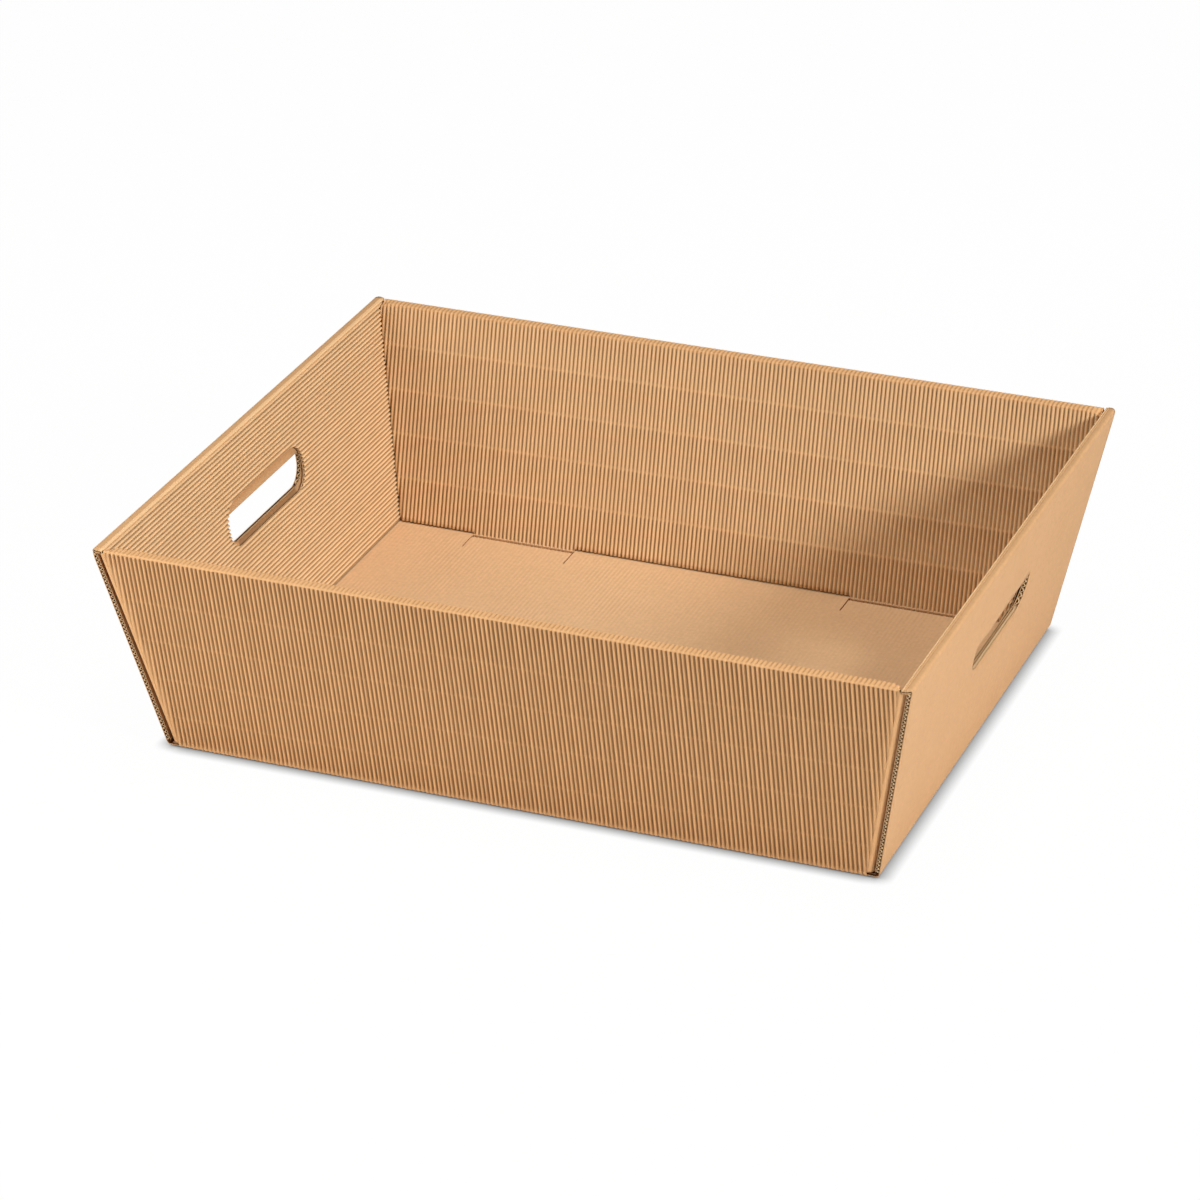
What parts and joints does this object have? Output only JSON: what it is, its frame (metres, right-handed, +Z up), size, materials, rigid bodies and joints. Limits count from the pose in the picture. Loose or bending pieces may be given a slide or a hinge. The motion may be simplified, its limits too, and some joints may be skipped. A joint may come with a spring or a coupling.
{
  "type": "cardboard_tray_box",
  "caption": "Flared open tray box folded from ribbed kraft card, with double walls, tab locks in the base and a rounded hand slot in each end wall",
  "frame": {"origin": "middle of the underside, on the ridges that the tray rests on", "axes": "+X along the long side, -Y the front long wall, +Z up"},
  "size_m": [0.4392, 0.3602, 0.124],
  "materials": {
    "kraft_card": "matte"
  },
  "bodies": {
    "root": {"tray": "kraft_card"}
  },
  "joints": []
}
